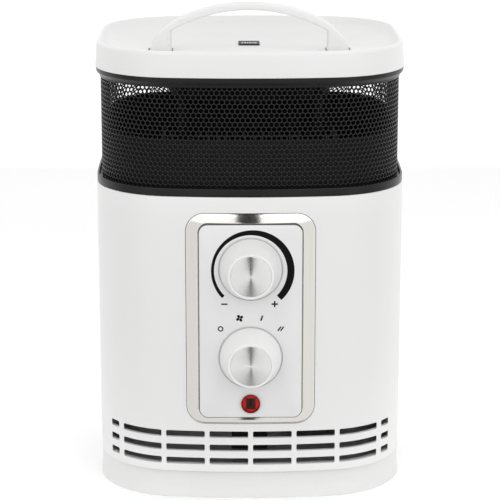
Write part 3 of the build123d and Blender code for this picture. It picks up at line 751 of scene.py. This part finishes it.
def cap():
    """The moulded top: a leaning rim round a shallow dish, open below, with a slot for each handle leg."""
    rim = rounded([(LID_INSET, CAP_BASE, 0), (0.1, CAP_BASE, 0.6), (1.1, 304.2, 3.0), (1.8, 305.7, 1.5),
                   (3.0, 306.4, 0.8), (4.2, 306.4, 0)])[:-1]
    dish = [(inset, z) for z, inset in smooth_path(DISH)]
    under = DISH_FLOOR - LID_THICKNESS
    last_inset, inner_inset = DISH[-1][1], 30.0

    def row(inset, z, scale=1):
        return [(x * scale, y * scale, z) for x, y in plan_loop(inset)]

    rows = [row(inner_inset, under, scale) for scale in (0.3, 0.6, 1)] + [row(LID_INSET, under)]
    rows += [row(inset, z) for inset, z in rim + dish]
    rows += [row(last_inset, DISH_FLOOR, scale) for scale in (0.75, 0.5, 0.25)]
    count = len(rows[0])
    points = [p for loop in rows for p in loop]
    faces = grid_faces(len(rows), count, False, True)
    for z, first in ((under, 0), (DISH_FLOOR, (len(rows) - 1) * count)):
        centre = len(points)
        points.append((0, 0, z))
        faces += [(centre, first + i, first + (i + 1) % count) for i in range(count)]
    piece = new_piece("cap", points, faces, WHITE, smooth=28.0)
    half_x, half_y = (HANDLE_SPAN - GRIP_HALF) / 2 + LEG_GAP, HANDLE_DEPTH + LEG_GAP
    hole = rectangle(2 * half_x, LEG_HOLE_HEIGHT)
    holes = [prism(shifted(hole, x, LEG_HOLE_Z), -half_y, half_y) for x in (-LEG_X, LEG_X)]
    cut_out(piece, *merged(holes))
    finish_mesh(piece, 28.0)
    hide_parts("top_cap")


def handle():
    """The arched handle: wide legs that narrow into a thin grip, with rounded long edges."""
    foot = low_mm("carry_handle").z
    outer, inner = [], []
    leg_steps, arch_steps, soft_edge = 12, 40, 1.8
    for i in range(leg_steps + 1):
        z = foot + (GRIP_SHOULDER - foot) * i / leg_steps
        outer.append((HANDLE_SPAN * math.sqrt(max(0, 1 - ((z - HANDLE_Z) / HANDLE_RISE) ** 2)), z))
        inner.append((GRIP_HALF, z))
    rise = GRIP_TOP - GRIP_SHOULDER
    grip_radius = (GRIP_HALF**2 + rise**2) / (2 * rise)
    start = math.asin((GRIP_SHOULDER - HANDLE_Z) / HANDLE_RISE)
    for i in range(1, arch_steps + 1):
        angle = start + (math.pi / 2 - start) * i / arch_steps
        outer.append((HANDLE_SPAN * math.cos(angle), HANDLE_Z + HANDLE_RISE * math.sin(angle)))
        x = GRIP_HALF * (1 - i / arch_steps)
        inner.append((x, GRIP_TOP - grip_radius + math.sqrt(grip_radius**2 - x**2)))
    outer += [(-x, z) for x, z in reversed(outer[:-1])]
    inner += [(-x, z) for x, z in reversed(inner[:-1])]
    sections = []
    for (ax, az), (bx, bz) in zip(outer, inner):
        across = math.hypot(ax - bx, az - bz)
        radius = min(soft_edge, across / 2 - 0.1)
        section = []
        for u, v in rounded_rectangle(across, 2 * HANDLE_DEPTH, radius, 5):
            t = 0.5 + u / across
            section.append((bx + (ax - bx) * t, v, bz + (az - bz) * t))
        sections.append(section)
    piece = loops_piece("handle", sections, WHITE, False, smooth=50.0)
    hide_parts("carry_handle")


def badge():
    """A small badge on the dish: a dark plate with a thin raised frame and a row of plain bars."""
    middle_y, top = 30.0, DISH_FLOOR + 0.8
    floor = top - 0.15

    def flat(width, length, radius, z):
        return [(x, y + middle_y, z) for x, y in rounded_rectangle(width, length, radius, 6)]

    loops = [flat(15, 17, 1.6, DISH_FLOOR), flat(15, 17, 1.6, top - 0.2), flat(14.6, 16.6, 1.4, top),
             flat(13.8, 15.8, 1.0, top), flat(13.6, 15.6, 0.9, floor)]
    piece = loops_piece("badge", loops, BADGE_BLACK, False, smooth=30.0)
    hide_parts("name_tag")
    bars = []
    pitch, length = 1.84, 4.4
    for i in range(6):
        bar = shifted(rectangle((1.0, 1.6)[i % 2], length), pitch * (i - 2.5), middle_y)
        bar = [(x, y, z) for z in (floor, floor + 0.1) for x, y in bar]
        bars.append((bar, [(0, 1, 2, 3), (4, 5, 6, 7)] + grid_faces(2, 4, False, True)))
    new_piece("badge_bars", *merged(bars), BADGE_SILVER, smooth=20.0)


cap()
handle()
badge()

# -------------------- control panel

BEZEL_Z = 126.5
THERMOSTAT_Z, MODE_Z, LAMP_Z = 162.3, 101.2, 68.8
WINDOW_WIDTH, WINDOW_HEIGHT, WINDOW_ROUND = 69.5, 134.3, 6.2
BEZEL_WIDTH, BEZEL_HEIGHT, BEZEL_ROUND = 86.0, 145.8, 12.6
PANEL_BACK, PANEL_FACE, PANEL_GAP = 93.0, 95.2, 0.5
RECESS_RADIUS, RECESS_FLOOR = 21.5, 94.0
SPINDLE_HOLE, LAMP_HOLE = 4.5, 6.45


def front_loop(width, height, radius, depth, middle=WINDOW_Z):
    """A rounded rectangle in front of the body. The depth is a number, or a function of x."""
    shape = rounded_rectangle(width, height, radius, 12, 18)
    return [(x, -(depth(x) if callable(depth) else depth), z + middle) for x, z in shape]


def bezel():
    """The bright frame: an edge on the bowed body, a slope up to the crest and a step into the window."""
    lift, low_rise, high_rise = 0.45, 0.65, 1.75

    def on_body(trim, above):
        """A loop that follows the bowed body, trimmed all round and raised above it."""
        shape = (BEZEL_WIDTH - 2 * trim, BEZEL_HEIGHT - 2 * trim, BEZEL_ROUND - trim)
        return front_loop(*shape, lambda x: front_depth(x) + above, BEZEL_Z)

    def in_window(grow, depth):
        """A loop round the window, grown all round, at one depth."""
        return front_loop(WINDOW_WIDTH + 2 * grow, WINDOW_HEIGHT + 2 * grow, WINDOW_ROUND + grow, depth)

    def on_crest(grow, below):
        """A loop on the crest, which follows the bowed body and rises towards the top."""
        loop = in_window(grow, 0)
        low_end, high_end = min(z for x, y, z in loop), max(z for x, y, z in loop)
        raised = []
        for x, y, z in loop:
            t = (z - low_end) / (high_end - low_end)
            raised.append((x, -front_depth(x) - low_rise - (high_rise - low_rise) * t + below, z))
        return raised

    low, high = on_body(0.45, lift), on_crest(0.8, 0)
    edge = ((0.75, 0.19), (0.4, 0.19), (0, 0.22), (0, lift - 0.2), (0.12, lift - 0.08))
    loops = [on_body(trim, above) for trim, above in edge]
    for t in (0.0, 0.25, 0.5, 0.75, 0.94):
        swell = 0.07 * math.sin(math.pi * t)
        loops.append([tuple(Vector(a).lerp(Vector(b), t) - Vector((0, swell, 0))) for a, b in zip(low, high)])
    loops += [on_crest(0.5, -0.02), on_crest(0.15, 0.1), on_crest(0, 0.5)]
    loops += [in_window(0, PANEL_BACK), in_window(-2.25, PANEL_BACK), in_window(-2.25, 92.5)]
    loops[-1] = [(x, -front_depth(x) - 0.02, z) for x, y, z in loops[-1]]
    piece = loops_piece("bezel", loops, CHROME, True, smooth=40.0)
    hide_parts("panel_bezel")
    # A dark grey strip just outside the bezel's edge, a painted shadow line for the gap under it
    shadow_line = ((1.2, 0.03), (1.2, 0.18), (-0.3, 0.18), (-0.35, 0.12), (-0.35, 0.03))
    loops = [on_body(trim, above) for trim, above in shadow_line]
    loops_piece("bezel_shadow_line", loops, SHADOW_LINE_GREY, True, smooth=40.0)


def panel():
    """The flat panel with a shallow round recess behind each knob and a hole for the lamp."""
    width, height = WINDOW_WIDTH - 2 * PANEL_GAP, WINDOW_HEIGHT - 2 * PANEL_GAP
    radius = WINDOW_ROUND - PANEL_GAP
    edge = ((0, 0, PANEL_BACK), (0, 0, PANEL_FACE - 0.5), (0.15, 0.08, PANEL_FACE - 0.2),
            (0.9, 0.45, PANEL_FACE))
    loops = [front_loop(width - trim, height - trim, radius - less, depth) for trim, less, depth in edge]
    piece = loops_piece("panel", loops, PANEL_WHITE, False, smooth=35.0)
    beyond = 97
    recess = [(0, RECESS_FLOOR), (RECESS_RADIUS, RECESS_FLOOR), (RECESS_RADIUS, PANEL_FACE - 0.35),
              (RECESS_RADIUS + 0.1, PANEL_FACE - 0.12), (RECESS_RADIUS + 0.45, PANEL_FACE),
              (RECESS_RADIUS + 0.6, beyond), (0, beyond)]
    for z in (THERMOSTAT_Z, MODE_Z):
        cut_out(piece, *turned(0, z, recess))
        cut_out(piece, *rod(0, z, SPINDLE_HOLE, 90, 95))
    cut_out(piece, *rod(0, LAMP_Z, LAMP_HOLE, 90, 100, 64))
    finish_mesh(piece, 35.0)
    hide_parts("control_panel")
    # A grey strip that fills the gap between the panel and the window, a painted shadow line
    inner_trim, shadow_line_back, shadow_line_face = 1.3 * PANEL_GAP, 93.2, 94.75
    shadow_line = []
    rims = ((0.05, shadow_line_back), (0.05, shadow_line_face), (inner_trim, shadow_line_face), (inner_trim, shadow_line_back))
    for trim, depth in rims:
        width, height = WINDOW_WIDTH - 2 * trim, WINDOW_HEIGHT - 2 * trim
        shadow_line.append(front_loop(width, height, WINDOW_ROUND - trim, depth))
    loops_piece("panel_shadow_line", shadow_line, PALE_SHADOW_LINE, True, smooth=40.0)


# The knob's hub and hollow, its outside, and the disc in its face, as (radius, depth, corner radius)
KNOB_INSIDE = [(0.0, 110.0, 0), (3.0, 110.0, 0), (3.0, 95.4, 0), (6.0, 95.4, 0.3), (6.0, 111.2, 0),
               (13.0, 111.2, 0)]
KNOB_OUTSIDE = [(13.0, 94.6, 0.1), (13.4, 94.4, 0), (20.3, 94.4, 0.2), (20.6, 94.7, 0), (20.6, 96.4, 1.5),
                (18.5, 103.0, 8.0), (16.2, 110.5, 8.0), (15.05, 115.2, 1.2), (13.65, 115.1, 0.12),
                (13.55, 114.4, 0), (0.0, 114.4, 0)]
KNOB_DISC = [(0.0, 114.42, 0), (13.5, 114.42, 0.1), (13.5, 115.12, 0.2), (2.2, 115.12, 0), (0.0, 115.08, 0)]
KNOB_SEGMENTS, KNOB_SMOOTH = 128, 32.0


def knob(name, z, body, disc_material):
    """A tapered knob with a turned metal disc let into its face, hollow behind, with a hub on the spindle."""
    path = open_path(KNOB_INSIDE + KNOB_OUTSIDE)
    piece = lathe(f"{name}_knob_shape", z, path, LIT_KNOB_WHITE, body, KNOB_SEGMENTS, KNOB_SMOOTH)
    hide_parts(f"{name}_knob")
    path = open_path(KNOB_DISC)
    disc = lathe(f"{name}_knob_insert", z, path, disc_material, body, KNOB_SEGMENTS, KNOB_SMOOTH)
    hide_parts(f"{name}_knob_disc")


def lamp():
    """The domed lens with its raised rim, over a dark block."""
    path = open_path([(0.0, 91.5, 0), (7.2, 91.5, 0.2), (7.2, 93.0, 0), (6.4, 93.0, 0), (6.4, 97.1, 0.3),
                      (5.85, 97.1, 0.25), (5.55, 96.3, 0.15), (4.5, 96.8, 0.8), (0.0, 97.2, 0)])
    piece = lathe("lamp_dome", LAMP_Z, path, RED_LENS_PAINTED_SHADE)
    block_width, block_height, block_face = 6.2, 6.9, 96.0
    pocket = rounded_rectangle(block_width, block_height, 0.4, 4)
    cut_out(piece, *prism(shifted(pocket, 0, LAMP_Z), 90, block_face))
    finish_mesh(piece, 40.0)
    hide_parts("lamp_lens")
    cup = open_path([(4.4, 90.9, 0), (6.9, 90.9, 0.1), (6.9, 91.4, 0.1), (4.4, 91.4, 0), (4.4, 90.9, 0)])
    ring = lathe("lamp_reflector", LAMP_Z, cup, WHITE, segments=64)


bezel()
panel()
for dial, z in (("thermostat", THERMOSTAT_Z), ("mode", MODE_Z)):
    knob(dial, z, f"{dial}_dial", spun_metal(f"spun_{dial}", z))
lamp()

# -------------------- printed marks

INK_BACK, INK_FACE = PANEL_FACE - 0.02, PANEL_FACE + 0.03


def ink(name, shapes):
    """Thin raised shapes on the panel's face, from (x, z) outlines."""
    new_piece(name, *merged([prism(shape, INK_BACK, INK_FACE) for shape in shapes]), INK, smooth=20.0)


def ribbon(name, outer, inner):
    """A printed stroke between two paths of the same length."""
    count = len(outer)
    points = [(x, -d, z) for d in (INK_BACK, INK_FACE) for path in (outer, inner) for x, z in path]
    faces = []
    for i in range(count - 1):
        for a, b in ((0, count), (2 * count, 3 * count), (0, 2 * count), (count, 3 * count)):
            faces.append((a + i, a + i + 1, b + i + 1, b + i))
    faces += [(0, count, 3 * count, 2 * count), (count - 1, 2 * count - 1, 4 * count - 1, 3 * count - 1)]
    new_piece(name, points, faces, INK, smooth=20.0)


SCALE_Z = THERMOSTAT_Z - 1.0


def thermostat_scale():
    """An arc that swells clockwise, between two circles whose centres lie a little apart."""
    inner_radius, outer_radius, shift = 24.3, 27.7, 1.4
    reach = math.radians(134.5)
    inner, outer = [], []
    steps = 96
    for i in range(steps + 1):
        angle = -reach + 2 * reach * i / steps
        dx, dz = math.sin(angle), math.cos(angle)
        along = shift * dx + math.sqrt(outer_radius**2 - (shift * dz) ** 2)
        inner.append((inner_radius * dx, SCALE_Z + inner_radius * dz))
        outer.append((along * dx, SCALE_Z + along * dz))
    ribbon("thermostat_scale", outer, inner)


def tilted(shape, degrees):
    """An outline turned about (0, 0)."""
    c, s = math.cos(math.radians(degrees)), math.sin(math.radians(degrees))
    return [(a * c - b * s, a * s + b * c) for a, b in shape]


def stroke(x, z, length, width, tilt=0.0):
    """A straight stroke centred at (x, z)."""
    return shifted(tilted(rectangle(length, width), tilt), x, z)


def panel_signs():
    """Minus and plus below the arc, and the four mode signs above the lower knob."""
    low = THERMOSTAT_Z - 23.9
    ink("minus_sign", [stroke(-17.5, low, 4.2, 1.0)])
    cross = [(-2.1, -0.5), (-0.5, -0.5), (-0.5, -2.1), (0.5, -2.1), (0.5, -0.5), (2.1, -0.5),
             (2.1, 0.5), (0.5, 0.5), (0.5, 2.1), (-0.5, 2.1), (-0.5, 0.5), (-2.1, 0.5)]
    ink("plus_sign", [shifted(cross, 16.0, low)])
    reach = 28.4
    angles = [math.radians(degrees) for degrees in (-45, -15, 15, 45)]
    spots = [(reach * math.sin(angle), MODE_Z + reach * math.cos(angle)) for angle in angles]
    (off_x, off_z), (fan_x, fan_z), (low_x, low_z), (high_x, high_z) = spots
    turns = [2 * math.pi * i / 40 for i in range(41)]
    outer, inner = [[(radius * math.cos(t), radius * math.sin(t)) for t in turns] for radius in (1.9, 1.1)]
    ribbon("off_sign", shifted(outer, off_x, off_z), shifted(inner, off_x, off_z))
    blade = [(0.1, 0.1), (0.9, -0.25), (1.7, -0.15), (2.3, 0.4), (2.3, 1.2), (1.8, 1.75), (1.0, 1.75),
             (0.4, 1.2)]
    ink("fan_sign", [shifted(tilted(blade, 90 * i), fan_x, fan_z) for i in range(4)])
    ink("low_heat_sign", [stroke(low_x, low_z, 3.8, 1.05, 72)])
    ink("high_heat_sign", [stroke(high_x + shift, high_z, 3.7, 0.9, 54) for shift in (-0.9, 0.9)])


thermostat_scale()
panel_signs()

# -------------------- stage, light and camera

LIGHT_Y = -1.5


def softbox(name, x_range, low_end, high_end, radiance):
    """A soft light over a span of X, between two (y, z) ends, shining down and forwards. All in metres."""
    (y0, z0), (y1, z1) = low_end, high_end
    width, length = x_range[1] - x_range[0], math.hypot(y1 - y0, z1 - z0)
    light = bpy.data.lights.new(name, "AREA")
    light.shape = "RECTANGLE"
    light.size, light.size_y = width, length
    light.energy = radiance * math.pi * width * length
    box = bpy.data.objects.new(name, light)
    box.location = (sum(x_range) / 2, (y0 + y1) / 2, (z0 + z1) / 2)
    box.rotation_euler = (math.atan2(z1 - z0, y1 - y0), 0, 0)
    bpy.context.scene.collection.objects.link(box)


def surround():
    """White behind the object, grey at its sides, dim behind the camera, a little brighter on the right."""
    world = bpy.data.worlds.new("studio")
    world.use_nodes = True
    tree = world.node_tree
    background = tree.nodes["Background"]
    direction = tree.nodes.new("ShaderNodeTexCoord")
    split = tree.nodes.new("ShaderNodeSeparateXYZ")
    shift = tree.nodes.new("ShaderNodeMapRange")
    shift.inputs["From Min"].default_value = -1.0
    ramp = tree.nodes.new("ShaderNodeValToRGB")
    ramp.color_ramp.interpolation = "EASE"
    # Places from the front, 0, to the back, 1, each with its brightness
    stops = ((0.0, 0.05), (0.10, 0.05), (0.22, 0.60), (0.50, 0.66), (0.64, 1.0))
    elements = ramp.color_ramp.elements
    elements[-1].position = stops[-1][0]
    for place, level in stops[1:-1]:
        elements.new(place)
    for element, (place, level) in zip(elements, stops):
        element.color = rgba(level)
    lean = tree.nodes.new("ShaderNodeMapRange")
    lean.inputs["From Min"].default_value = -1.0
    lean.inputs["To Min"].default_value = 1.03
    lean.inputs["To Max"].default_value = 1.17
    tree.links.new(direction.outputs["Generated"], split.inputs[0])
    tree.links.new(split.outputs["Y"], shift.inputs["Value"])
    tree.links.new(shift.outputs[0], ramp.inputs[0])
    tree.links.new(split.outputs["X"], lean.inputs["Value"])
    tree.links.new(ramp.outputs[0], background.inputs["Color"])
    tree.links.new(lean.outputs[0], background.inputs["Strength"])
    bpy.context.scene.world = world


def slab(name, corners, material):
    """A flat stage piece, in metres."""
    made = mesh_object(name, corners, [(0, 1, 2, 3)], 1.0)
    made.data.materials.append(material)
    return made


def dark_card():
    """A narrow black strip in the gap between the two soft lights, which only reflections see."""
    card = plastic("black_card", 0.004, 0.006, 0.9)
    reach, half = 1.75, 0.10
    angles = [math.radians(-25 + 11.5 * i) for i in range(11)]
    edges = [(-reach * math.cos(angle), reach * math.sin(angle)) for angle in angles]
    for i, (low, high) in enumerate(zip(edges, edges[1:])):
        corners = [(-half, *low), (half, *low), (half, *high), (-half, *high)]
        strip = slab(f"dark_card_{i}", corners, card)
        strip.visible_camera = False


def studio():
    """A bright light table and two large soft lights, each bent overhead, with a dark gap between them."""
    surround()
    glow = {"Emission_Strength": 0.10, "Emission_Color": (1, 1, 1, 1)}
    table = Surface("light_table", 0.95, 0.7, **glow)
    table.vary_colour(table.noise(3.0), 0.94, 0.96)
    half, near, far = 0.36, -0.125, 1.0
    slab("floor", [(-half, near, 0), (half, near, 0), (half, far, 0), (-half, far, 0)], table.material)
    dark_card()
    edge, seam, gap, shift = 1.9, 0.30, 0.055, 0.012
    for side, level in ((-1, 1.0), (1, 1.07)):
        front = sorted((side * 0.07, side * edge))
        overhead = sorted((side * gap, side * 1.3))
        inner = sorted((side * gap + shift, side * seam))
        low = sorted((side * seam, side * edge))
        foot = sorted((0.0, side * edge))
        bottom = sorted((side * 0.045, side * edge))
        # Each upright part with its span of X, its foot, its head and its radiance
        upright = (("foot", foot, -0.95, -0.55, 0.70), ("bottom", bottom, -0.55, -0.42, 0.70),
                   ("inner", inner, -0.42, 0.25, 0.95), ("low", low, -0.42, 0.25, 0.71),
                   ("front", front, 0.25, 0.6, 1.10), ("high", front, 0.6, 1.3, 1.58))
        for part, span, z0, z1, radiance in upright:
            softbox(f"{part}_softbox_{side}", span, (LIGHT_Y, z0), (LIGHT_Y, z1), radiance * level)
        softbox(f"overhead_softbox_{side}", overhead, (LIGHT_Y, 1.3), (-0.4, 1.94), 0.84 * level)


def camera():
    """The photographer's view: a long lens, slightly above and looking down."""
    lens = bpy.data.cameras.new("camera")
    lens.lens = 142.8
    lens.sensor_width = 36.0
    lens.clip_start = 0.05
    viewer = bpy.data.objects.new("camera", lens)
    viewer.location = (-0.0127, -1.3645, 0.4997)
    look_down, yaw = 0.250, -0.00965
    viewer.rotation_euler = (math.pi / 2 - look_down, 0, yaw)
    bpy.context.scene.collection.objects.link(viewer)
    bpy.context.scene.camera = viewer


studio()
camera()
bpy.context.scene.view_settings.view_transform = "Standard"
